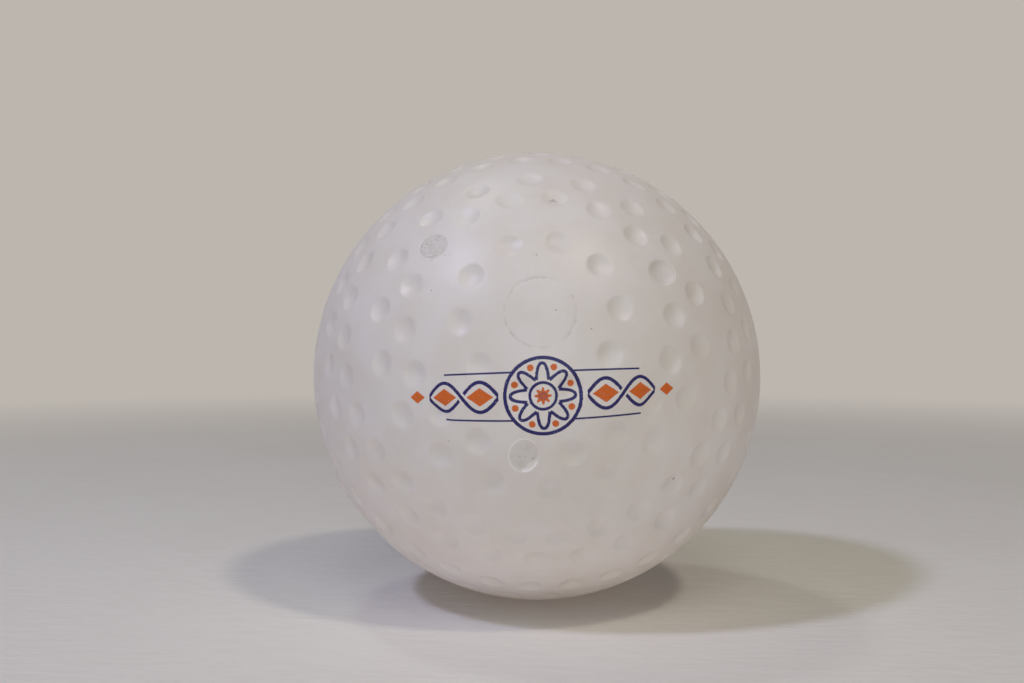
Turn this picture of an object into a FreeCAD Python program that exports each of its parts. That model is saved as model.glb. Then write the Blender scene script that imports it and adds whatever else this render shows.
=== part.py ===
import FreeCAD, Part
import math
import os
from dataclasses import dataclass

# Field hockey ball, in millimetres, +Z up, with the origin at the ball's centre.
# It is one solid moulding. Rings of round dimples stand about the axis of its two-part mould,
# a fine line runs where the two halves of the mould met, and the front pole has a round insert's line.

# Driving dimensions of the ball
BALL_DIAMETER = 73.0
DIMPLE_DIAMETER = 3.8
DIMPLE_DEPTH = 0.42

# Marks of the mould: pins that stand in for some dimples, the round insert, and the fine lines
PIN_MARK_DIAMETER = 4.1
PIN_MARK_DEPTH = 0.16
PIN_MARK_COUNT = 3
INSERT_DIAMETER = 9.9
LINE_WIDTH = 0.36
LINE_DEPTH = 0.09

# How the ball lies in its frame, in degrees: the front pole's direction from -Y towards +X and up,
# and the meridian that the rings start from, from the pole's upper side towards -X
POLE_AZIMUTH = 1.0
POLE_ELEVATION = 16.1
DATUM_MERIDIAN = -6.8

# How far each cutter stands past the surface that it opens
CUTTER_CLEARANCE = 0.3


@dataclass(frozen=True)
class Ring:
    """One ring of dimples: their number, their angle from the pole, and the ring's turn in steps."""

    count: int
    polar_angle: float
    turn: float
    has_pin_marks: bool = False


# Rings of one half of the mould, from its pole outwards. A turn of 0.5 staggers a ring by half a step.
RINGS = (
    Ring(10, 17.5, -0.17),
    Ring(18, 31.2, 0.0, has_pin_marks=True),
    Ring(18, 38.9, 0.5),
    Ring(30, 51.9, 0.0),
    Ring(30, 60.1, 0.5),
    Ring(36, 73.7, 0.5),
    Ring(36, 82.2, 0.0),
)

BALL_RADIUS = BALL_DIAMETER / 2
ORIGIN = FreeCAD.Vector(0, 0, 0)
MOULD_AXIS = FreeCAD.Vector(0, 0, 1)
FIRST_MERIDIAN = FreeCAD.Vector(1, 0, 0)
SWING_AXIS = FreeCAD.Vector(0, 1, 0)


def surface_height(radius):
    """Return how high the ball's surface stands over its centre, at a radius from the axis."""
    return math.sqrt(BALL_RADIUS ** 2 - radius ** 2)


def dimple_cutter():
    """Return the cutter of a dimple at the pole: the low slice of a small sphere, as wide as the rim needs."""
    rim = DIMPLE_DIAMETER / 2
    floor = BALL_RADIUS - DIMPLE_DEPTH
    rise = surface_height(rim) - floor
    bowl_radius = (rim ** 2 + rise ** 2) / (2 * rise)
    bowl = Part.makeSphere(bowl_radius)
    seam_upwards = FreeCAD.Rotation(FreeCAD.Vector(1, 0, 0), MOULD_AXIS)
    bowl.Placement = FreeCAD.Placement(MOULD_AXIS * (floor + bowl_radius), seam_upwards)
    foot = MOULD_AXIS * (floor - CUTTER_CLEARANCE)
    plug = Part.makeCylinder(rim + CUTTER_CLEARANCE, DIMPLE_DEPTH + 2 * CUTTER_CLEARANCE, foot)
    return bowl.common(plug)


def pin_mark_cutter(polar_angle):
    """Return the cutter of a pin's mark on the first meridian, at an angle from the pole.

    The pin runs along the mould axis, so it meets the ball at a slant and leaves an oval pocket.
    The pocket's floor lies on a smaller ball, whose seam is turned away from the pin.
    """
    foot = FIRST_MERIDIAN * (BALL_RADIUS * math.sin(math.radians(polar_angle)))
    pin = Part.makeCylinder(PIN_MARK_DIAMETER / 2, BALL_RADIUS + CUTTER_CLEARANCE, foot)
    floor_ball = turned(Part.makeSphere(BALL_RADIUS - PIN_MARK_DEPTH), MOULD_AXIS, 180)
    return pin.cut(floor_ball)


def line_cutter(radius):
    """Return the cutter of a fine line round the axis: a V that points at the ball's centre."""
    outward = FreeCAD.Vector(radius, 0, surface_height(radius)) / BALL_RADIUS
    sideways = FreeCAD.Vector(outward.z, 0, -outward.x)
    widening = (LINE_DEPTH + CUTTER_CLEARANCE) / LINE_DEPTH
    root = outward * (BALL_RADIUS - LINE_DEPTH)
    crest = outward * (BALL_RADIUS + CUTTER_CLEARANCE)
    half_width = sideways * (widening * LINE_WIDTH / 2)
    section = Part.makePolygon([root, crest - half_width, crest + half_width, root])
    return Part.Face(section).revolve(ORIGIN, MOULD_AXIS, 360)


def turned(shape, axis, angle):
    """Return a copy of a shape, turned about an axis through the ball's centre."""
    copy = shape.copy()
    turn = FreeCAD.Placement(ORIGIN, FreeCAD.Rotation(axis, angle))
    copy.Placement = turn.multiply(copy.Placement)
    return copy


def is_pin_mark(ring, index):
    """Tell whether a place in a ring is a pin's mark: as many as there are pins, evenly spaced."""
    spacing = ring.count // PIN_MARK_COUNT
    return ring.has_pin_marks and index % spacing == spacing // 2


def ring_cutters(ring, dimple):
    """Return the cutters of one ring and of its mirror image on the other half.

    Each is made on the first meridian, turned over it for the other half, and turned to its place.
    """
    dimple_in_ring = turned(dimple, SWING_AXIS, ring.polar_angle)
    pin_mark = pin_mark_cutter(ring.polar_angle)
    cutters = []
    step = 360 / ring.count
    for index in range(ring.count):
        meridian = DATUM_MERIDIAN + step * (index + ring.turn)
        front = pin_mark if is_pin_mark(ring, index) else dimple_in_ring
        rear = turned(front, FIRST_MERIDIAN, 180)
        cutters.append(turned(front, MOULD_AXIS, meridian))
        cutters.append(turned(rear, MOULD_AXIS, meridian))
    return cutters


def mould_lines():
    """Return the cutters of the parting line and of the line round the front pole's insert."""
    return [line_cutter(BALL_RADIUS), line_cutter(INSERT_DIAMETER / 2)]


def moulded_ball():
    """Return the ball about its mould axis: a sphere less its dimples, pin marks and lines."""
    dimple = dimple_cutter()
    cutters = mould_lines()
    for ring in RINGS:
        cutters += ring_cutters(ring, dimple)
    return Part.makeSphere(BALL_RADIUS).cut(cutters)


def lie_of_the_ball():
    """Return the placement that tips the mould axis from +Z to the front pole's direction."""
    azimuth = math.radians(POLE_AZIMUTH)
    elevation = math.radians(POLE_ELEVATION)
    pole = FreeCAD.Vector(
        math.sin(azimuth) * math.cos(elevation),
        -math.cos(azimuth) * math.cos(elevation),
        math.sin(elevation),
    )
    left = pole.cross(FreeCAD.Vector(0, 0, 1)).normalize()
    upper_side = left.cross(pole)
    return FreeCAD.Placement(ORIGIN, FreeCAD.Rotation(upper_side, left, pole, "ZXY"))


def main():
    """Build the ball, report it and write its STEP file."""
    ball = moulded_ball()
    ball.Placement = lie_of_the_ball()
    dimples = 2 * sum(ring.count for ring in RINGS)
    print("ball:", len(ball.Solids), "solid,", dimples, "dimples and marks,", len(ball.Faces), "faces")
    ball.exportStep("parts/ball.step")


os.makedirs("parts", exist_ok=True)
main()
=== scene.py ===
import logging
import math
from dataclasses import dataclass
from enum import Enum
from typing import Any

import bpy
import numpy as np
from mathutils import Euler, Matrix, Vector


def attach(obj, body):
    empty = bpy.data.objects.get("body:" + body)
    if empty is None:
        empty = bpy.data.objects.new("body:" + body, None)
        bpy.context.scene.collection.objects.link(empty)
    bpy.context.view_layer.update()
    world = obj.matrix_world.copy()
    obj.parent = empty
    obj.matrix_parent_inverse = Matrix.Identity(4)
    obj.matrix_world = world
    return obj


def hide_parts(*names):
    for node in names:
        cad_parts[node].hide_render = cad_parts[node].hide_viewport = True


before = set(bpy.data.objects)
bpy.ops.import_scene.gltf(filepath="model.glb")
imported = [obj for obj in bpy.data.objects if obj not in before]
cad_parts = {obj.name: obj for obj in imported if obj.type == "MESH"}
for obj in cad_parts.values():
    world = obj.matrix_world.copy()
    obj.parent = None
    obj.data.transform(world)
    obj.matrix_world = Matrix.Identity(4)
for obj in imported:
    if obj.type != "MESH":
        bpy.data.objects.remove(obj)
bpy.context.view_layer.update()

# The dressed field hockey ball, in metres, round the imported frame.
# Lengths on the ball are in millimetres, as in the part's source, and turned into metres at the mesh.

LOG = logging.getLogger("field_hockey_ball")
MILLIMETRE = 0.001
BALL_RADIUS = 36.5
TABLE_HEIGHT = -BALL_RADIUS * MILLIMETRE
TINY = 1e-9

# The points that a cap's loop has more than the loop inside it, and a quarter of them.
LOOP_STEP = 8
QUARTER_STEP = LOOP_STEP // 4

Colour = tuple[float, float, float, float]
Socket = bpy.types.NodeSocket
Inputs = dict[Any, Any] | None


def screen_colour(red: float, green: float, blue: float) -> Colour:
    """Turn a colour's screen values into the linear colour that a socket takes, by the sRGB curve.

    Args:
        red, green, blue: The colour's screen values, 0 to 255.

    Returns:
        The linear colour, with an alpha of 1.
    """
    share = np.array([red, green, blue]) / 255
    curve = np.where(share <= 0.04045, share / 12.92, ((share + 0.055) / 1.055) ** 2.4)
    return (*(float(part) for part in curve), 1.0)


def direction_at(azimuth: float, elevation: float) -> np.ndarray:
    """Return the unit direction at an azimuth from -Y towards +X and an elevation, both in degrees."""
    turn, rise = np.radians([azimuth, elevation])
    return np.array([np.sin(turn) * np.cos(rise), -np.cos(turn) * np.cos(rise), np.sin(rise)])


BACKDROP = screen_colour(188, 182, 175)


@dataclass(frozen=True)
class MouldAxes:
    """The mould's axes as the ball lies: the front pole and the rings' first meridian, in degrees."""

    azimuth: float = 1.0
    elevation: float = 16.1
    datum: float = -6.8

    @property
    def pole(self) -> np.ndarray:
        """The front pole's direction."""
        return direction_at(self.azimuth, self.elevation)

    @property
    def left(self) -> np.ndarray:
        """The direction square to the pole that lies level, towards -X."""
        across = np.cross(self.pole, [0.0, 0.0, 1.0])
        return across / np.linalg.norm(across)

    @property
    def upper(self) -> np.ndarray:
        """The direction square to the pole that leads upwards."""
        return np.cross(self.left, self.pole)

    def across(self, meridian: float) -> np.ndarray:
        """Return the direction square to the pole at a meridian, in radians."""
        return math.cos(meridian) * self.upper + math.sin(meridian) * self.left

    def direction(self, polar: np.ndarray, meridian: np.ndarray) -> np.ndarray:
        """Carry polar coordinates about the mould axis into the frame.

        The direction is cos(polar) along the pole plus sin(polar) along the meridian's own direction.

        Args:
            polar: Angles from the front pole, in radians.
            meridian: Angles round the pole, in radians.

        Returns:
            Unit directions, one row each.
        """
        ring = np.cos(meridian)[:, None] * self.upper + np.sin(meridian)[:, None] * self.left
        return np.sin(polar)[:, None] * ring + np.cos(polar)[:, None] * self.pole

    def polar_place(self, directions: np.ndarray) -> tuple[np.ndarray, np.ndarray]:
        """Read the angles from the front pole and the meridians, in radians, back from unit directions."""
        polar = np.arccos(np.clip(directions @ self.pole, -1, 1))
        return polar, np.arctan2(directions @ self.left, directions @ self.upper)


@dataclass(frozen=True)
class Ring:
    """One ring of dimples and its mirror image behind: number, angle from the pole, turn in steps."""

    count: int
    polar_angle: float
    turn: float
    has_pin_marks: bool = False


@dataclass(frozen=True)
class PinMark:
    """One mark of a mould pin: the number of its place, and the form that the pin left, in millimetres.

    The floor has its depth at the mark's middle and falls by the tilt towards the low side, whose heading
    is in degrees from straight away from the pole, towards the next place. There the wall has its own width.
    The finish has the shares of grime on the whole floor, of painted shade on the high side (under 0 on the
    low side), of the painted highlight on the crescent and along the rim, and the heights of the groove and
    of the ridges.
    """

    number: int
    floor: float
    tilt: float
    heading: float
    wall: float
    bowl: float = 0.0
    # Grime on the whole floor.
    grime: float = 0.0
    # Painted shade: a darker share on the high side of the floor, moved to the low side when it is under 0.
    stain: float = 0.0
    # Painted highlight: the shares of a bright crescent on the low side and of a bright line along the rim.
    burnish: float = 0.0
    lip: float = 0.0
    groove: float = 0.0
    ridges: float = 0.0


@dataclass
class DimpledSkin:
    """The ball's moulded skin: one closed grid of loops about the mould axis, pressed in by its relief."""

    axes: MouldAxes
    radius: float = BALL_RADIUS
    inset: float = 0.004
    dimple_radius: float = 1.9
    dimple_depth: float = 0.46
    rim_softness: float = 0.035
    rim_gather: float = 0.6
    rim_band: float = 0.7
    pin_radius: float = 2.05
    pin_wall: float = 0.22
    pin_wall_focus: float = 8.0
    pin_marks: tuple[PinMark, ...] = (
        PinMark(3, 0.05, -0.02, -140.0, 0.6, grime=-0.03, stain=-0.06, groove=0.055, ridges=0.065),
        PinMark(9, 0.13, 0.15, 38.0, 0.9, grime=0.08, burnish=1.0, lip=0.7),
        PinMark(15, 0.07, 0.03, -68.0, 0.35, bowl=0.40, grime=0.02, stain=0.15, burnish=0.35, groove=0.02),
    )
    insert_radius: float = 4.95
    insert_share: float = 0.55
    insert_waves: tuple[tuple[float, float, float], ...] = ((0.3, 3, -0.8), (0.15, 7, 1.9))
    insert_least: float = 0.08
    line_width: float = 0.36
    line_depth: float = 0.09
    cap_angle: float = 45.0
    cap_loops: int = 62
    side_rows: int = 138
    rings: tuple[Ring, ...] = (
        Ring(10, 17.5, -0.17),
        Ring(18, 31.2, 0.0, has_pin_marks=True),
        Ring(18, 38.9, 0.5),
        Ring(30, 51.9, 0.0),
        Ring(30, 60.1, 0.5),
        Ring(36, 73.7, 0.5),
        Ring(36, 82.2, 0.0),
    )

    @property
    def pin_ring(self) -> Ring:
        """The ring that holds the pin marks."""
        return next(ring for ring in self.rings if ring.has_pin_marks)

    @property
    def pin_distance(self) -> float:
        """How far the pins' axes stand from the mould axis, in millimetres."""
        return self.radius * math.sin(math.radians(self.pin_ring.polar_angle))

    @property
    def insert_angle(self) -> float:
        """The insert line's angle from the pole, in radians."""
        return math.asin(self.insert_radius / self.radius)

    def loop_angles(self) -> np.ndarray:
        """Space the grid's loops from pole to pole.

        The loops are even, but each line of the mould has one along its root and one along each of its
        edges, because a line is finer than the grid's cells.

        Returns:
            The loops' angles from the front pole, in radians, from 0 to pi.
        """
        half, line, edge = self.line_width / 2 / self.radius, self.insert_angle, math.radians(self.cap_angle)
        inner_loops = round(self.cap_loops * line / edge)
        inner = np.linspace(0, line - half, inner_loops)
        outer = np.linspace(line + half, edge, self.cap_loops - inner_loops)
        side = np.linspace(edge, math.pi / 2 - half, self.side_rows // 2)[1:]
        front = np.concatenate([inner, [line], outer, side])
        return np.concatenate([front, [math.pi / 2], math.pi - front[::-1]])

    def loop_counts(self) -> np.ndarray:
        """Count the loops' points: a step more with every loop across a cap, and then the same.

        Returns:
            Each loop's number of points.
        """
        growing = LOOP_STEP * np.arange(self.cap_loops + 1)
        growing[0] = 1
        return np.concatenate([growing, np.full(self.side_rows - 1, growing[-1]), growing[::-1]])

    def grid(self) -> tuple[np.ndarray, np.ndarray]:
        """Lay out the grid's points, each loop's evenly round the axis.

        Returns:
            The points' angles from the front pole, and their meridians, in radians.
        """
        counts = self.loop_counts()
        first = np.repeat(np.cumsum(counts) - counts, counts)
        along = np.arange(counts.sum()) - first
        return np.repeat(self.loop_angles(), counts), 2 * math.pi * along / np.repeat(counts, counts)

    @staticmethod
    def growing_strip(index: int) -> tuple[np.ndarray, np.ndarray]:
        """Join a cap's loop to the next one out, which has a step more points.

        A quarter's inner cells face the outer ones from the second on as four-sided faces, and the two
        outer cells left over at its ends become triangles.

        Args:
            index: The inner loop's number, 0 at the pole.

        Returns:
            The four-sided faces and the triangles, as numbers of points from the inner loop's start.
        """
        inner_count, outer_count = max(LOOP_STEP * index, 1), LOOP_STEP * (index + 1)
        quarter = np.arange(4)[:, None]
        cells = QUARTER_STEP * index
        cell = np.arange(cells)[None, :]

        def inner(place: np.ndarray) -> np.ndarray:
            """Number a place in the inner loop."""
            return ((quarter * cells + place) % inner_count).ravel()

        def outer(place: np.ndarray) -> np.ndarray:
            """Number a place in the outer loop, after the inner loop's points."""
            return (inner_count + (quarter * (cells + QUARTER_STEP) + place) % outer_count).ravel()

        start = np.zeros((1, 1), int)
        end = start + cells
        quads = np.stack([inner(cell), outer(cell + 1), outer(cell + 2), inner(cell + 1)], 1)
        opening = np.stack([inner(start), outer(start), outer(start + 1)], 1)
        closing = np.stack([inner(end), outer(end + 1), outer(end + 2)], 1)
        return quads, np.concatenate([opening, closing])

    def faces(self) -> list[list[int]]:
        """Join every loop to the next, from the front pole to the rear one.

        Returns:
            The faces, each turned outwards.
        """
        counts = self.loop_counts()
        first = np.cumsum(counts) - counts
        strips = [self.growing_strip(index) for index in range(self.cap_loops)]
        quads = np.concatenate([four_sided + start for (four_sided, _), start in zip(strips, first)])
        triangles = np.concatenate([three_sided + start for (_, three_sided), start in zip(strips, first)])
        side = loop_cells(first[self.cap_loops:self.cap_loops + self.side_rows], counts[self.cap_loops])
        quads = np.concatenate([quads, side, self.mirrored(quads)])
        return quads.tolist() + np.concatenate([triangles, self.mirrored(triangles)]).tolist()

    def mirrored(self, cap_faces: np.ndarray) -> np.ndarray:
        """Carry the front cap's faces to the rear cap.

        A point keeps its place in its loop, while the loop's start moves to the grid's end. The corners'
        order turns round, because the mirror turns the faces inside out.

        Args:
            cap_faces: The front cap's faces.

        Returns:
            The rear cap's faces, turned outwards.
        """
        counts = self.loop_counts()
        first = np.cumsum(counts) - counts
        loop = np.searchsorted(first, cap_faces, side="right") - 1
        rear_first = counts.sum() - first[loop] - counts[loop]
        return (rear_first + cap_faces - first[loop])[:, ::-1]

    def relief(self, polar: np.ndarray, meridian: np.ndarray) -> np.ndarray:
        """Measure how far the surface lies inside the sphere, in millimetres.

        Args:
            polar: Angles from the front pole, in radians.
            meridian: Angles round the pole, in radians.

        Returns:
            The depths: dimples, pin marks and lines added up.
        """
        depth = np.zeros_like(polar)
        for ring in self.rings:
            number, aside, reach = self.nearest_place(ring, polar, meridian)
            pressed = self.bowl(reach)
            for mark in self.pin_marks if ring.has_pin_marks else ():
                pocket = self.pin_pocket(*self.from_pin(polar, aside), mark)
                pressed = np.where(number == mark.number, pocket, pressed)
            depth += pressed
        return depth + self.line(polar, math.pi / 2) + self.insert_line(polar, meridian)

    def nearest_place(
        self, ring: Ring, polar: np.ndarray, meridian: np.ndarray
    ) -> tuple[np.ndarray, np.ndarray, np.ndarray]:
        """Find each point's nearest place in a ring or in the ring's mirror image behind.

        The places stand one step apart, so the meridian over the step, rounded, is the place's number, and
        what is left over is the angle to it. The distance is the radius times the angle whose cosine is the
        product of the cosines of the two polar angles plus that of their sines and the cosine of this angle.

        Args:
            ring: The ring.
            polar: Angles from the front pole, in radians.
            meridian: Angles round the pole, in radians.

        Returns:
            The places' numbers, the meridian angles to them, and the distances in millimetres.
        """
        folded = math.pi / 2 - np.abs(math.pi / 2 - polar)
        centre = math.radians(ring.polar_angle)
        step = 2 * math.pi / ring.count
        steps = (meridian - math.radians(self.axes.datum)) / step - ring.turn
        number = np.round(steps)
        aside = (steps - number) * step
        towards = np.cos(folded) * math.cos(centre) + np.sin(folded) * math.sin(centre) * np.cos(aside)
        return number.astype(int) % ring.count, aside, self.radius * np.arccos(np.clip(towards, -1, 1))

    def from_pin(self, polar: np.ndarray, aside: np.ndarray) -> tuple[np.ndarray, np.ndarray]:
        """Return the steps away from the pole and round it to points, in millimetres from the pin's axis."""
        arm = self.radius * np.sin(polar)
        return arm * np.cos(aside) - self.pin_distance, arm * np.sin(aside)

    def gathered(self, polar: np.ndarray, meridian: np.ndarray) -> tuple[np.ndarray, np.ndarray]:
        """Draw the grid's points together at the dimples' rims, so that the rims stay crisp.

        A point moves along the sphere towards the rim of its nearest dimple, by its distance from that rim
        times the gather times a bell curve of the distance over the band's width.

        Args:
            polar: Angles from the front pole, in radians.
            meridian: Angles round the pole, in radians.

        Returns:
            The moved points' angles from the front pole and meridians, in radians.
        """
        found = [self.nearest_place(ring, polar, meridian) for ring in self.rings]
        nearest = np.argmin([reach for _, _, reach in found], 0)
        number, aside, reach = (np.choose(nearest, parts) for parts in zip(*found))
        centre = np.radians([ring.polar_angle for ring in self.rings])[nearest]
        centre = np.where(polar > math.pi / 2, math.pi - centre, centre)
        marked = np.array([ring.has_pin_marks for ring in self.rings])[nearest]
        is_pin = marked & np.isin(number, [mark.number for mark in self.pin_marks])
        from_axis = np.hypot(*self.from_pin(polar, aside))
        beyond = np.where(is_pin, from_axis - self.pin_radius, reach - self.dimple_radius)
        shift = -beyond * self.rim_gather * np.exp(-(beyond / self.rim_band) ** 2) / self.radius
        place = self.axes.direction(polar, meridian)
        middle = self.axes.direction(centre, meridian - aside)
        away = place - middle * (place * middle).sum(1, keepdims=True)
        away /= np.maximum(np.linalg.norm(away, axis=1, keepdims=True), TINY)
        moved = place + away * shift[:, None]
        return self.axes.polar_place(moved / np.linalg.norm(moved, axis=1, keepdims=True))

    def bowl(self, reach: np.ndarray) -> np.ndarray:
        """Give a dimple's depth at a distance from its middle, both in millimetres.

        The bowl is the depth times 1 less the square of the distance over the dimple's radius. Its rim is
        rounded over by a soft maximum with zero: softness times ln(1 + exp(bowl / softness)).

        Args:
            reach: Distances from the dimple's middle.

        Returns:
            The depths.
        """
        shape = 1 - (reach / self.dimple_radius) ** 2
        return self.dimple_depth * self.rim_softness * np.logaddexp(0, shape / self.rim_softness)

    def pin_pocket(self, outward: np.ndarray, round_it: np.ndarray, mark: PinMark) -> np.ndarray:
        """Give a pin mark's depth at a place measured from the pin's axis.

        The floor is the mark's depth plus its tilt times the step towards the low side over the radius. It
        ends in a wall that rises with the square of the share of its width, which grows to the mark's own at
        the low side as a bell curve of the angle's cosine. The bowl falls with the square of the distance.

        Args:
            outward: Steps from the pin's axis away from the pole, in millimetres.
            round_it: Steps from the pin's axis round the pole, in millimetres.
            mark: The pin mark.

        Returns:
            The depths, in millimetres.
        """
        reach = np.hypot(outward, round_it)
        heading = math.radians(mark.heading)
        lowwards = outward * math.cos(heading) + round_it * math.sin(heading)
        nearness = np.exp(-self.pin_wall_focus * (1 - lowwards / np.maximum(reach, TINY)))
        wall = self.pin_wall + (mark.wall - self.pin_wall) * nearness
        share = 1 - np.clip((reach - self.pin_radius + wall) / wall, 0, 1) ** 2
        floor = mark.floor + mark.tilt * lowwards / self.pin_radius
        bowl = mark.bowl * np.maximum(1 - (reach / (self.pin_radius - self.pin_wall)) ** 2, 0)
        return floor * share + bowl

    def line(self, polar: np.ndarray, centre: float) -> np.ndarray:
        """Give the depth of a line about an angle: a V that falls evenly from its root to its edges."""
        aside = np.abs(polar - centre) * self.radius
        return self.line_depth * np.clip(1 - aside / (self.line_width / 2), 0, 1)

    def insert_line(self, polar: np.ndarray, meridian: np.ndarray) -> np.ndarray:
        """Give the insert line's depth, scaled by a share that waves with turns of the meridian."""
        waves = sum(swing * np.cos(turns * meridian + phase) for swing, turns, phase in self.insert_waves)
        return self.line(polar, self.insert_angle) * np.clip(self.insert_share + waves, self.insert_least, 1)

    def build(self, material: bpy.types.Material) -> bpy.types.Object:
        """Make the ball's mesh and dress it.

        Args:
            material: The ball's finish.

        Returns:
            The finished piece.
        """
        polar, meridian = self.gathered(*self.grid())
        reach = (self.radius - self.inset - self.relief(polar, meridian)) * MILLIMETRE
        points = reach[:, None] * self.axes.direction(polar, meridian)
        return make_piece("dimpled_ball", points, self.faces(), material)


def loop_cells(starts: np.ndarray, around: int) -> np.ndarray:
    """Join loops that have the same number of points, each to the one that follows it.

    Args:
        starts: The numbers of the loops' first points, without the last loop's.
        around: The number of points in a loop.

    Returns:
        The four-sided faces.
    """
    row, place = starts[:, None], np.arange(around)[None, :]
    onward = (place + 1) % around
    corners = [row + place, row + around + place, row + around + onward, row + onward]
    return np.stack([corner.ravel() for corner in corners], 1)


def make_piece(
    name: str, points: np.ndarray, faces: list[list[int]], material: bpy.types.Material
) -> bpy.types.Object:
    """Make a smooth mesh object whose place is in its mesh.

    Args:
        name: The object's name.
        points: The points, in metres, one row each.
        faces: The faces, as numbers of points.
        material: The object's finish.

    Returns:
        The object, linked to the scene.
    """
    mesh = bpy.data.meshes.new(name)
    mesh.from_pydata(points.tolist(), [], faces)
    mesh.polygons.foreach_set("use_smooth", np.ones(len(mesh.polygons), bool))
    mesh.materials.append(material)
    mesh.update()
    piece = bpy.data.objects.new(name, mesh)
    bpy.context.scene.collection.objects.link(piece)
    LOG.info("%s: %d points, %d faces", name, len(mesh.vertices), len(mesh.polygons))
    return piece


@dataclass(frozen=True)
class Value:
    """A number that changes over a surface: one socket, whose arithmetic adds Math nodes."""

    board: "Board"
    socket: Socket

    def math(self, operation: str, *others: Any) -> "Value":
        """Add a Math node that takes this value first and the others after it."""
        return self.board.value("Math", dict(enumerate((self, *others))), operation=operation)

    def __add__(self, other: Any) -> "Value":
        """Add."""
        return self.math("ADD", other)

    def __sub__(self, other: Any) -> "Value":
        """Subtract."""
        return self.math("SUBTRACT", other)

    def __rsub__(self, other: float) -> "Value":
        """Subtract, reflected."""
        return self.board.value("Math", {0: other, 1: self}, operation="SUBTRACT")

    def __mul__(self, other: Any) -> "Value":
        """Multiply."""
        return self.math("MULTIPLY", other)

    def __truediv__(self, other: Any) -> "Value":
        """Divide."""
        return self.math("DIVIDE", other)

    def __abs__(self) -> "Value":
        """Drop the sign."""
        return self.math("ABSOLUTE")

    __radd__ = __add__
    __rmul__ = __mul__

    def hypot(self, other: "Value") -> "Value":
        """Return the length of the step made of this value and another, square to it."""
        return (self * self + other * other).math("SQRT")

    def inside(self, edge: float, blur: float) -> "Value":
        """Return 1 where the value is under an edge and 0 over it, with a smooth step between."""
        span = {0: self, 1: edge - blur / 2, 2: edge + blur / 2, 3: 1.0, 4: 0.0}
        return self.board.value("MapRange", span, interpolation_type="SMOOTHSTEP")


@dataclass(frozen=True)
class Grain:
    """A smooth noise: its scale, its detail and its roughness."""

    scale: float
    detail: float = 2.0
    roughness: float = 0.5


class Board:
    """The node tree of one material or of the world, and the place that its patterns are read at."""

    place: Socket

    def __init__(self, tree: bpy.types.NodeTree) -> None:
        """Take a node tree and clear it."""
        self.tree = tree
        self.tree.nodes.clear()

    def node(self, kind: str, inputs: Inputs = None, **settings: Any) -> bpy.types.Node:
        """Add a node.

        Args:
            kind: The node's type, after its first word, ShaderNode.
            inputs: The values or links of its sockets, by number or name.
            settings: The node's own settings, which are set first.

        Returns:
            The node.
        """
        made = self.tree.nodes.new("ShaderNode" + kind)
        for name, setting in settings.items():
            setattr(made, name, setting)
        for key, given in (inputs or {}).items():
            source = given.socket if isinstance(given, Value) else given
            if isinstance(source, Socket):
                self.tree.links.new(source, made.inputs[key])
            else:
                made.inputs[key].default_value = source
        return made

    def value(self, kind: str, inputs: Inputs = None, **settings: Any) -> Value:
        """Add a node and return its first output as a value."""
        return Value(self, self.node(kind, inputs, **settings).outputs[0])

    def vector(self, operation: str, *inputs: Any) -> Socket:
        """Add a Vector Math node and return its vector."""
        return self.node("VectorMath", dict(enumerate(inputs)), operation=operation).outputs[0]

    def length(self, vector: Socket) -> Value:
        """Return a vector's length."""
        return Value(self, self.node("VectorMath", {0: vector}, operation="LENGTH").outputs["Value"])

    def along(self, direction: np.ndarray) -> Value:
        """Return how far the place reaches along a fixed direction."""
        made = self.node("VectorMath", {0: self.place, 1: tuple(direction)}, operation="DOT_PRODUCT")
        return Value(self, made.outputs["Value"])

    def noise(self, grain: Grain, vector: Socket | None = None) -> Value:
        """Return smooth noise about 0.5, read at a vector or else at the place."""
        inputs = {name.title(): number for name, number in vars(grain).items()}
        return self.value("TexNoise", {"Vector": vector or self.place, **inputs})

    def blend(self, share: Any, first: Any, second: Any) -> Socket:
        """Return a mix of two colours: the first where the share is 0, the second where it is 1."""
        return self.node("Mix", {0: share, 6: first, 7: second}, data_type="RGBA").outputs[2]

    def surface(self, height: Value, strength: float, inputs: dict[str, Any]) -> Socket:
        """Return a Principled shader that is bumped by a height in millimetres."""
        bump = self.node("Bump", {"Strength": strength, "Distance": MILLIMETRE, "Height": height})
        return self.node("BsdfPrincipled", {**inputs, "Normal": bump.outputs[0]}).outputs[0]

    def seen_ray(self) -> Value:
        """Return 1 for the rays that show the backdrop: camera, glossy and transmission rays."""
        path = self.node("LightPath").outputs
        seen = Value(self, path["Is Camera Ray"]).math("MAXIMUM", path["Is Glossy Ray"])
        return seen.math("MAXIMUM", path["Is Transmission Ray"])


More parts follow.
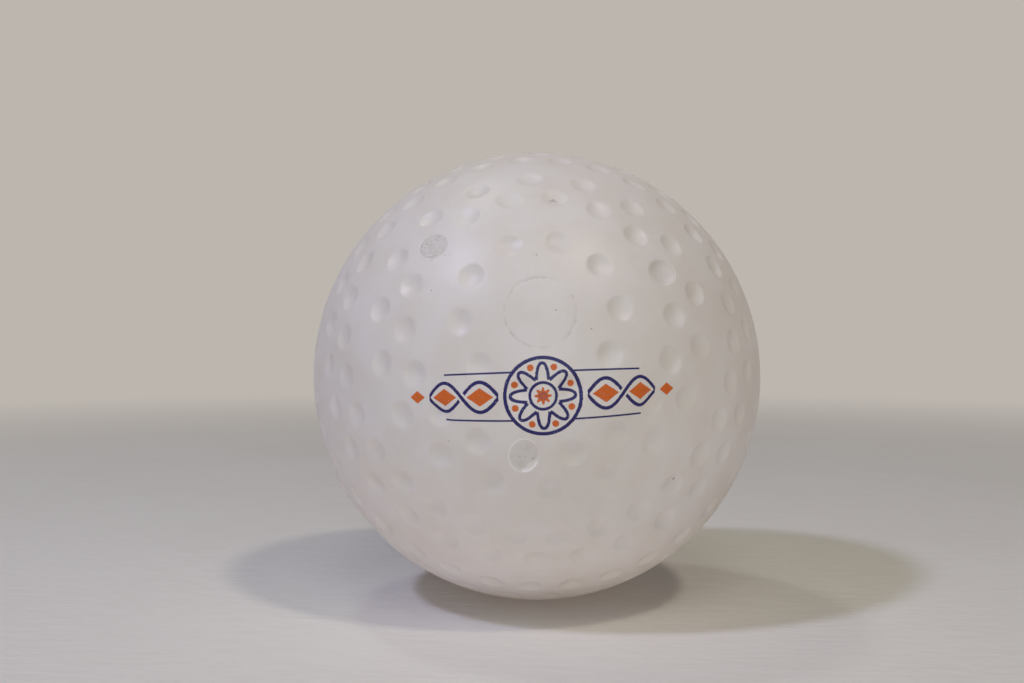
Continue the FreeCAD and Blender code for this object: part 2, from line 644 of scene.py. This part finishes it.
@dataclass(frozen=True)
class InkPrint:
    """The printed patch: a round medallion of petals, with a twisted band on each side of it.

    It is measured in millimetres on a flat sheet that touches the ball at the medallion's middle.
    """

    azimuth: float = 1.5
    elevation: float = -1.9
    slant: float = 2.0
    line_width: float = 0.50
    medallion_radius: float = 5.2
    petals: int = 8
    petal_line: tuple[float, float] = (3.5, 0.95)
    petal_weight: float = 0.9
    bead: tuple[float, float] = (4.15, 0.46)
    inner_ring: float = 1.8
    inner_weight: float = 0.8
    heart: tuple[float, float] = (0.95, 0.25)
    band_start: float = 6.0
    eye_length: float = 5.6
    eye_count: int = 2
    strand_swing: float = 2.1
    strand_gap: float = 0.62
    lozenge: tuple[float, float] = (2.0, 1.3)
    tip_place: float = 2.3
    tip: tuple[float, float] = (1.5, 1.0)
    rule_offset: float = 3.3
    rule_width: float = 0.26
    edge_blur: float = 0.09
    switch_blur: float = 0.02
    waver: Grain = Grain(90.0, 1.0)
    waver_reach: float = 0.16
    least_depth: float = 0.3
    least_reach: float = 0.5

    def sheet(self, board: Board, radius: float) -> tuple[Value, Value, Value]:
        """Lay the sheet on the ball.

        Args:
            board: The node tree.
            radius: The ball's radius.

        Returns:
            The place across and up the sheet, and 1 on the ball's near side.
        """
        slant = math.radians(self.slant)
        middle = direction_at(self.azimuth, self.elevation)
        level = direction_at(self.azimuth + 90, 0)
        upright = np.cross(level, -middle)
        near = board.along(middle)
        depth = near.math("MAXIMUM", self.least_depth)
        return (
            board.along(level * math.cos(slant) + upright * math.sin(slant)) * radius / depth,
            board.along(upright * math.cos(slant) - level * math.sin(slant)) * radius / depth,
            (0.5 - near).inside(0.0, self.switch_blur),
        )

    def strand(self, run: Value, up: Value, side: float) -> Value:
        """Measure the distance from one strand of the twist.

        The strand waves as the swing times the sine of pi times the place over an eye's length. The height
        over it, divided by the length of the step (1, slope), is close to the true distance.

        Args:
            run: The place along the band.
            up: The place over the band's middle line.
            side: 1 for the strand that rises first, -1 for the other.

        Returns:
            The distance, in millimetres.
        """
        phase = run * (math.pi / self.eye_length)
        height = phase.math("SINE") * (side * self.strand_swing)
        slope = phase.math("COSINE") * (self.strand_swing * math.pi / self.eye_length)
        return abs(up - height) / (slope * slope + 1).math("SQRT")

    def diamond(self, across: Value, up: Value, size: tuple[float, float]) -> Value:
        """Draw a diamond: 1 where the two steps over their half sizes add up to less than 1."""
        return (abs(across) / size[0] + abs(up) / size[1]).inside(1.0, self.edge_blur)

    def band(self, across: Value, up: Value) -> tuple[Value, Value]:
        """Draw the twisted band, the same on both sides of the medallion.

        Args:
            across: The place along the band, 0 at the medallion's middle.
            up: The place over the band's middle line.

        Returns:
            The navy and the orange share.
        """
        blur, half, length = self.edge_blur, self.line_width / 2, self.eye_length * self.eye_count
        run = abs(across) - self.band_start
        from_middle = abs(run - length / 2)
        first, second = (self.strand(run, up, side) for side in (1, -1))
        over = (0 - (run * (math.pi / self.eye_length)).math("COSINE")).inside(0.0, self.switch_blur)
        crossing = from_middle.inside((length - self.eye_length) / 2, blur)
        clear = half + self.strand_gap / 2
        ink_first = first.inside(half, blur) * (1 - second.inside(clear, blur) * (1 - over) * crossing)
        ink_second = second.inside(half, blur) * (1 - first.inside(clear, blur) * over * crossing)
        strands = ink_first.math("MAXIMUM", ink_second) * from_middle.inside(length / 2 - blur, blur)
        rules = abs(abs(up) - self.rule_offset).inside(self.rule_width / 2, blur)
        rules = rules * run.inside(length - self.eye_length / 2, blur)
        eye = run.math("WRAP", self.eye_length, 0.0) - self.eye_length / 2
        lozenges = self.diamond(eye, up, self.lozenge) * from_middle.inside(length / 2, blur)
        tips = self.diamond(run - length - self.tip_place, up, self.tip)
        return strands.math("MAXIMUM", rules), lozenges.math("MAXIMUM", tips)

    def medallion(self, across: Value, up: Value) -> tuple[Value, Value, Value]:
        """Draw the medallion: a ring, a waved petal line in it, beads by the petals, and a starry heart.

        The petal line and the heart's edge lie at a radius plus a swing times the cosine of the petals times
        the angle. The distance from the line is over the length of the step (1, its change over the arc).

        Args:
            across: The place across, 0 at the middle.
            up: The place up, 0 at the middle.

        Returns:
            The navy and the orange share, and the share that lies outside the medallion.
        """
        reach = across.hypot(up)
        angle = up.math("ARCTAN2", across)
        wave = (angle * self.petals).math("COSINE")
        middle, swing = self.petal_line
        arc = reach.math("MAXIMUM", self.least_reach)
        slope = (angle * self.petals).math("SINE") * (swing * self.petals) / arc
        petal = abs(reach - (wave * swing + middle)) / (slope * slope + 1).math("SQRT")
        half = self.line_width / 2
        navy = petal.inside(half * self.petal_weight, self.edge_blur)
        for radius, weight in ((self.medallion_radius, 1.0), (self.inner_ring, self.inner_weight)):
            navy = navy.math("MAXIMUM", abs(reach - radius).inside(half * weight, self.edge_blur))
        spread = math.pi / self.petals
        aside = (angle - spread).math("WRAP", spread, -spread)
        away = aside.math("COSINE") * reach - self.bead[0]
        beads = away.hypot(aside.math("SINE") * reach).inside(self.bead[1], self.edge_blur)
        heart = (reach - wave * self.heart[1]).inside(self.heart[0], self.edge_blur)
        outside = 1 - reach.inside(self.medallion_radius + half / 2, self.edge_blur)
        return navy, beads.math("MAXIMUM", heart), outside

    def inks(self, board: Board, radius: float) -> tuple[Value, Value]:
        """Draw the whole patch.

        Args:
            board: The node tree.
            radius: The ball's radius.

        Returns:
            The navy and the orange share.
        """
        across, up, near = self.sheet(board, radius)
        across = across + (board.noise(self.waver) - 0.5) * self.waver_reach
        navy, orange, outside = self.medallion(across, up)
        band_navy, band_orange = self.band(across, up)
        return (
            navy.math("MAXIMUM", band_navy * outside) * near,
            orange.math("MAXIMUM", band_orange * outside) * near,
        )


@dataclass(frozen=True)
class Speck:
    """A spot of dirt: its direction in degrees, its radius in millimetres and its strength."""

    azimuth: float
    elevation: float
    size: float
    strength: float


@dataclass(frozen=True)
class RimBand:
    """A soft band along a pin mark's rim: its middle from the rim, half width and blur, in millimetres."""

    middle: float
    half: float
    blur: float

    def share(self, from_rim: Value) -> Value:
        """Return 1 in the band and 0 away from it."""
        return abs(from_rim - self.middle).inside(self.half, self.blur)


@dataclass(frozen=True)
class SatinPlastic:
    """The ball's finish: satin white plastic, faintly mottled, with a printed patch, and pin marks with
    grime, painted shade and painted highlights.
    """

    skin: DimpledSkin
    patch: InkPrint
    specks: tuple[Speck, ...]
    white: Colour = screen_colour(227, 221, 218)
    creamy: Colour = screen_colour(223, 216, 210)
    navy: Colour = screen_colour(27, 20, 96)
    orange: Colour = screen_colour(212, 100, 26)
    # Painted highlight: the near-white laid on the pin marks' crescents and rim lines.
    burnished: Colour = screen_colour(250, 244, 244)
    # Grey for the grime in the pin marks and along the insert line, and for the painted shade on one side of
    # the marks.
    grime: Colour = screen_colour(128, 124, 112)
    dirt: Colour = screen_colour(66, 56, 48)
    mottle: Grain = Grain(5.0, 4.0, 0.6)
    waves: Grain = Grain(36.0)
    wave_height: float = 0.016
    satin: Grain = Grain(240.0)
    satin_height: float = 0.010
    pinholes: Grain = Grain(260.0, 1.0)
    pinhole_share: float = 0.6
    floor_grain: Grain = Grain(55.0, 4.0, 0.62)
    floor_height: float = 0.05
    scratches: Grain = Grain(75.0, 1.0)
    # The painted highlight's shape: a crescent on a mark's low side and a line along its rim.
    crescent_start: float = 1.2
    crescent_bend: float = 0.2
    crescent_shares: tuple[float, float] = (0.34, 0.42)
    crescent_rim: RimBand = RimBand(-0.13, 0.12, 0.16)
    lip_rim: RimBand = RimBand(0.03, 0.06, 0.10)
    groove_rim: RimBand = RimBand(-0.10, 0.11, 0.12)
    line_breaks: Grain = Grain(24.0, 3.0, 0.7)
    line_share: float = 0.22
    dust_scale: float = 15.0
    dust_share: float = 0.5
    ragged_scale: float = 70.0
    ragged_push: float = 0.012
    roughness: float = 0.40
    index: float = 1.46

    def make(self) -> bpy.types.Material:
        """Make the material.

        Returns:
            The material, with colour, roughness and bump from its nodes.
        """
        material = bpy.data.materials.new("satin_plastic")
        material.use_nodes = True
        board = Board(material.node_tree)
        board.place = board.vector("NORMALIZE", board.node("TexCoord").outputs["Object"])
        navy, orange = self.patch.inks(board, self.skin.radius)
        grime, burnished, pressed = self.pin_finish(board)
        mottle = board.noise(self.mottle)
        whole = 1 - (1 - board.noise(self.pinholes)).inside(0.27, 0.05) * self.pinhole_share

        colour = board.blend(mottle.inside(0.5, 0.3), self.white, self.creamy)
        coats = (
            # Grey coat: grime and painted shade at the pin marks, and the grey along the insert line.
            (grime.math("MAXIMUM", self.line_grime(board)), self.grime),
            # Painted highlight at the pin marks, with a lower roughness there.
            (burnished, self.burnished),
            (self.dirt_share(board), self.dirt),
            (orange * whole, self.orange),
            (navy * whole, self.navy),
        )
        for share, coat in coats:
            colour = board.blend(share, colour, coat)

        height = (board.noise(self.waves) - 0.5) * self.wave_height
        height = height + (board.noise(self.satin) - 0.5) * self.satin_height + pressed
        ink = navy.math("MAXIMUM", orange)
        roughness = self.roughness + (mottle - 0.5) * 0.12 + grime * 0.8 - burnished * 0.12 + ink * 0.06
        inputs = {"Base Color": colour, "Roughness": roughness, "IOR": self.index}
        board.node("OutputMaterial", {"Surface": board.surface(height, 1.0, inputs)})
        return material

    def mark_place(self, board: Board, mark: PinMark) -> tuple[Value, Value]:
        """Measure where the surface lies from the axis of a mark's pin.

        The pin runs along the mould axis, so two directions square to that axis measure the place.

        Args:
            board: The node tree.
            mark: The pin mark.

        Returns:
            The steps towards the mark's low side and square to that, in millimetres.
        """
        ring, radius, distance = self.skin.pin_ring, self.skin.radius, self.skin.pin_distance
        turn = math.radians(self.skin.axes.datum + 360 / ring.count * (mark.number + ring.turn))
        aside = math.radians(mark.heading)
        low = board.along(self.skin.axes.across(turn + aside)) * radius
        side = board.along(self.skin.axes.across(turn + aside + math.pi / 2)) * radius
        return low - distance * math.cos(aside), side + distance * math.sin(aside)

    def pin_finish(self, board: Board) -> tuple[Value, Value, Value]:
        """Gather what the mould's pins left: grime, painted shade, painted highlights and fine relief.

        The painted highlight's crescent lies past a parabola on a mark's low side and is brightest along the
        rim.

        Args:
            board: The node tree.

        Returns:
            The shares of the grime with its painted shade and of the painted highlight, and the relief in
            millimetres.
        """
        grain = board.noise(self.floor_grain)
        scratches = abs(board.noise(self.scratches) - 0.5).inside(0.03, 0.04)
        inner_share, rim_share = self.crescent_shares
        grime, burnished, relief = 0.0, 0.0, 0.0
        for mark in self.skin.pin_marks:
            low, side = self.mark_place(board, mark)
            from_rim = low.hypot(side) - self.skin.pin_radius
            floor = from_rim.inside(-0.1, 0.3)
            # Painted highlight: a bright crescent past a parabola on the low side, brightest along the rim.
            past = (side * side * self.crescent_bend + self.crescent_start - low).inside(0.0, 0.5)
            crescent = past * from_rim.inside(0.02, 0.12)
            crescent = crescent * (self.crescent_rim.share(from_rim) * rim_share + inner_share)
            # Painted highlight: a bright line along the rim, away from the low side.
            lip = self.lip_rim.share(from_rim) * (low + side * 0.4 - 0.2).inside(0.0, 1.6)
            # Painted shade: a darker share on the high side of the floor, moved to the low side when the
            # share is under 0.
            painted_shade_share = (low * math.copysign(1.0, mark.stain) + 1.0).inside(0.0, 1.2) * abs(mark.stain)
            grime = floor * (painted_shade_share + grain.inside(0.40, 0.16) * 0.10 + mark.grime) + grime
            burnished = crescent * mark.burnish + lip * mark.lip + burnished
            rough = (grain - 0.5) * self.floor_height + scratches * mark.ridges
            relief = floor * rough - self.groove_rim.share(from_rim) * mark.groove + relief
        return grime, burnished, relief

    def line_grime(self, board: Board) -> Value:
        """Gather the grey darkening along the insert line, broken in places.

        Args:
            board: The node tree.

        Returns:
            The grime's share.
        """
        polar = board.along(self.skin.axes.pole).math("ARCCOSINE")
        line = abs(polar - self.skin.insert_angle) * self.skin.radius
        broken = board.noise(self.line_breaks)
        return line.inside(0.16, 0.16) * (0.62 - broken).inside(0.1, 0.2) * self.line_share

    def dirt_share(self, board: Board) -> Value:
        """Gather the dark dirt: fine dust all over, and the larger spots with ragged edges.

        Args:
            board: The node tree.

        Returns:
            The dirt's share.
        """
        cells = board.node("TexVoronoi", {"Vector": board.place, "Scale": self.dust_scale})
        chosen = board.value("SeparateColor", {0: cells.outputs["Color"]}).inside(0.10, 0.02)
        share = Value(board, cells.outputs["Distance"]).inside(0.045, 0.02) * chosen * self.dust_share
        ragged = board.node("TexNoise", {"Vector": board.place, "Scale": self.ragged_scale})
        pushed = board.vector("MULTIPLY_ADD", ragged.outputs["Color"], (self.ragged_push,) * 3, board.place)
        for speck in self.specks:
            middle = direction_at(speck.azimuth, speck.elevation) + self.ragged_push / 2
            reach = board.length(board.vector("SUBTRACT", pushed, tuple(middle))) * self.skin.radius
            share = share.math("MAXIMUM", reach.inside(speck.size, speck.size * 0.8) * speck.strength)
        return share


@dataclass
class TableTop:
    """The pale table that the ball stands on: a wide disc, with a fine cloth's ribs in its finish."""

    radius: float = 3.0
    loops: int = 24
    spokes: int = 96
    cloth: Colour = screen_colour(237, 235, 232)
    # Painted shade: the cloth's colour where its bump is low, in the creases and between the ribs.
    creased: Colour = screen_colour(233, 230, 226)
    ribs: Grain = Grain(620.0, 3.0, 0.6)
    rib_stretch: tuple[float, float, float] = (0.3, 1.0, 1.0)
    rib_height: float = 0.55
    creases: Grain = Grain(14.0, 4.0, 0.55)
    crease_height: float = 1.2
    bump_strength: float = 0.35
    roughness: float = 0.8
    fade: tuple[float, float] = (0.16, 0.6)

    def material(self) -> bpy.types.Material:
        """Make the cloth's finish, which fades into the backdrop far from the ball.

        Returns:
            The material.
        """
        material = bpy.data.materials.new("pale_cloth")
        material.use_nodes = True
        board = Board(material.node_tree)
        board.place = board.node("TexCoord").outputs["Object"]
        ribs = board.noise(self.ribs, board.vector("MULTIPLY", board.place, self.rib_stretch))
        creases = board.noise(self.creases)
        height = ribs * self.rib_height + creases * self.crease_height
        # Painted shade: the cloth is a shade darker where the crease and rib bump is low.
        valley_shade = creases.inside(0.5, 0.4) * 0.6 + ribs.inside(0.47, 0.2) * 0.4
        looks = {"Base Color": board.blend(valley_shade, self.cloth, self.creased), "Roughness": self.roughness}
        cloth = board.surface(height, self.bump_strength, looks)
        near, far = self.fade
        faded = 1 - board.length(board.place).inside((near + far) / 2, far - near)
        backdrop = board.node("Emission", {"Color": BACKDROP, "Strength": 1.0}).outputs[0]
        both = board.node("MixShader", {0: faded * board.seen_ray(), 1: cloth, 2: backdrop})
        board.node("OutputMaterial", {"Surface": both.outputs[0]})
        return material

    def build(self) -> None:
        """Make the disc: loops whose radius grows with the square of their number, on even spokes."""
        reach = self.radius * (np.arange(1, self.loops + 1) / self.loops) ** 2
        turn = 2 * math.pi * np.arange(self.spokes) / self.spokes
        across, away = np.outer(reach, np.cos(turn)).ravel(), np.outer(reach, np.sin(turn)).ravel()
        rim = np.stack([across, away, np.full_like(across, TABLE_HEIGHT)], 1)
        points = np.concatenate([[[0.0, 0.0, TABLE_HEIGHT]], rim])
        place = np.arange(self.spokes)
        middle = np.stack([np.zeros_like(place), 1 + place, 1 + (place + 1) % self.spokes], 1)
        cells = loop_cells(1 + self.spokes * np.arange(self.loops - 1), self.spokes)
        make_piece("table_top", points, middle.tolist() + cells.tolist(), self.material())


class Tint(Enum):
    """The named colours of the light."""

    COOL = (0.70, 0.72, 1.0)
    CLEAR = (0.82, 0.97, 1.0)
    MILD = (0.94, 1.0, 0.86)
    WARM = (1.0, 0.88, 0.74)
    ROSY = (1.0, 0.84, 0.75)


@dataclass(frozen=True)
class DiscLamp:
    """A round lamp: how strongly it lights, its width in metres, and the colour of its light.

    The level is the share of its own colour that a matt surface square to the lamp gives back.
    """

    name: str
    level: float
    width: float
    tint: Tint

    def add(self, place: Vector, turn: Euler, reach: float) -> bpy.types.Object:
        """Add the lamp to the scene.

        A disc lamp of power P lights a surface at distance d with P over pi d squared, and a matt surface
        gives back that over pi, so the power is the level times pi squared times d squared.

        Args:
            place: The lamp's place, in metres.
            turn: Its turn from looking straight down.
            reach: The distance at which it lights with its level, in metres.

        Returns:
            The lamp.
        """
        light = bpy.data.lights.new(self.name, "AREA")
        light.shape = "DISK"
        light.size = self.width
        light.color = self.tint.value
        light.energy = self.level * (math.pi * reach) ** 2
        lamp = bpy.data.objects.new(self.name, light)
        lamp.location = place
        lamp.rotation_euler = turn
        bpy.context.scene.collection.objects.link(lamp)
        return lamp


@dataclass(frozen=True)
class SoftLamp(DiscLamp):
    """A lamp that looks at the ball: its direction in degrees and its distance in metres."""

    azimuth: float
    elevation: float
    distance: float = 1.2

    def build(self) -> None:
        """Hang the lamp."""
        towards = Vector(direction_at(self.azimuth, self.elevation))
        self.add(towards * self.distance, (-towards).to_track_quat("-Z", "Y").to_euler(), self.distance)


@dataclass(frozen=True)
class TableGlow(DiscLamp):
    """A wide, dim lamp that lies on the table, face up, for the light that a pale cloth throws back."""

    gap: float = 0.0001

    def build(self) -> None:
        """Lay the lamp on the table, out of sight.

        A disc whose face has the level's brightness gives off the level times pi times its area, which is
        the lamp's power at a reach of half its width.
        """
        place = Vector((0.0, 0.0, TABLE_HEIGHT + self.gap))
        lamp = self.add(place, Euler((math.pi, 0.0, 0.0)), self.width / 2)
        lamp.visible_camera = False
        lamp.visible_glossy = False


@dataclass
class Studio:
    """The light, the backdrop and the camera."""

    lamps: tuple[SoftLamp | TableGlow, ...] = (
        SoftLamp("lamp_left", 0.295, 0.075, Tint.COOL, -54.0, 51.0, 0.75),
        SoftLamp("lamp_right", 0.174, 0.10, Tint.WARM, 40.0, 57.0, 1.0),
        SoftLamp("lamp_back", 0.066, 0.12, Tint.MILD, -134.0, 68.0),
        SoftLamp("lamp_top", 0.085, 1.2, Tint.ROSY, 0.0, 84.0),
        SoftLamp("lamp_fill", 0.142, 0.35, Tint.CLEAR, 5.0, 9.0),
        SoftLamp("lamp_front", 0.092, 0.5, Tint.MILD, 0.0, 55.0),
        SoftLamp("lamp_low", 0.048, 0.5, Tint.COOL, -60.0, 6.0, 1.0),
        SoftLamp("lamp_side", 0.045, 0.9, Tint.WARM, 38.0, 28.0),
        TableGlow("lamp_bounce", 0.138, 0.8, Tint.ROSY),
    )
    lens: float = 39.22
    sensor: float = 36.0
    nearest_seen: float = 0.01
    eye: tuple[float, float, float] = (0.0, -0.18597, 0.00803)
    pitch_down: float = 0.745
    yaw_left: float = 1.233

    def world(self) -> None:
        """Give the world the pale backdrop that is seen but lights nothing."""
        world = bpy.data.worlds.new("pale_room")
        world.use_nodes = True
        bpy.context.scene.world = world
        board = Board(world.node_tree)
        light = board.node("Background", {"Strength": 0.0}).outputs[0]
        shown = board.node("Background", {"Color": BACKDROP, "Strength": 1.0}).outputs[0]
        both = board.node("MixShader", {0: board.seen_ray(), 1: light, 2: shown})
        board.node("OutputWorld", {"Surface": both.outputs[0]})

    def camera(self) -> None:
        """Set up the camera at the photograph's angle."""
        data = bpy.data.cameras.new("camera")
        data.lens = self.lens
        data.sensor_width = self.sensor
        data.clip_start = self.nearest_seen
        view = bpy.data.objects.new("camera", data)
        view.location = self.eye
        view.rotation_euler = Euler((math.radians(90 - self.pitch_down), 0.0, math.radians(self.yaw_left)))
        bpy.context.scene.collection.objects.link(view)
        bpy.context.scene.camera = view

    def build(self) -> None:
        """Set up the camera, the world and the lamps."""
        self.camera()
        self.world()
        for lamp in self.lamps:
            lamp.build()
        bpy.context.scene.view_settings.view_transform = "Standard"
        LOG.info("studio: %d lamps", len(self.lamps))


@dataclass
class HockeyBall:
    """The whole ball: its skin, its finish, and its place in the frame."""

    axes: MouldAxes = MouldAxes()
    patch: InkPrint = InkPrint()
    specks: tuple[Speck, ...] = (
        Speck(5.6, 46.7, 0.34, 0.34),
        Speck(6.7, 46.1, 0.24, 0.26),
        Speck(4.6, 46.2, 0.22, 0.24),
        Speck(35.65, -22.0, 0.22, 0.75),
        Speck(4.4, 16.4, 0.13, 0.5),
        Speck(-27.7, 35.05, 0.20, 0.28),
        Speck(-27.35, 28.75, 0.22, 0.16),
        Speck(-23.9, 29.8, 0.20, 0.16),
        Speck(-22.5, 30.0, 0.18, 0.12),
        Speck(-0.6, -15.8, 0.18, 0.24),
        Speck(-3.6, -15.2, 0.15, 0.20),
        Speck(-2.6, -17.4, 0.15, 0.18),
    )

    def build(self) -> None:
        """Build the ball, and let it stand for its node."""
        skin = DimpledSkin(self.axes)
        ball = skin.build(SatinPlastic(skin, self.patch, self.specks).make())
        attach(ball, "root")
        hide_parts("ball")


def main() -> None:
    """Build the studio, the table and the ball."""
    logging.basicConfig(level=logging.INFO, format="%(name)s: %(message)s")
    Studio().build()
    TableTop().build()
    HockeyBall().build()


if __name__ == "__main__":
    main()
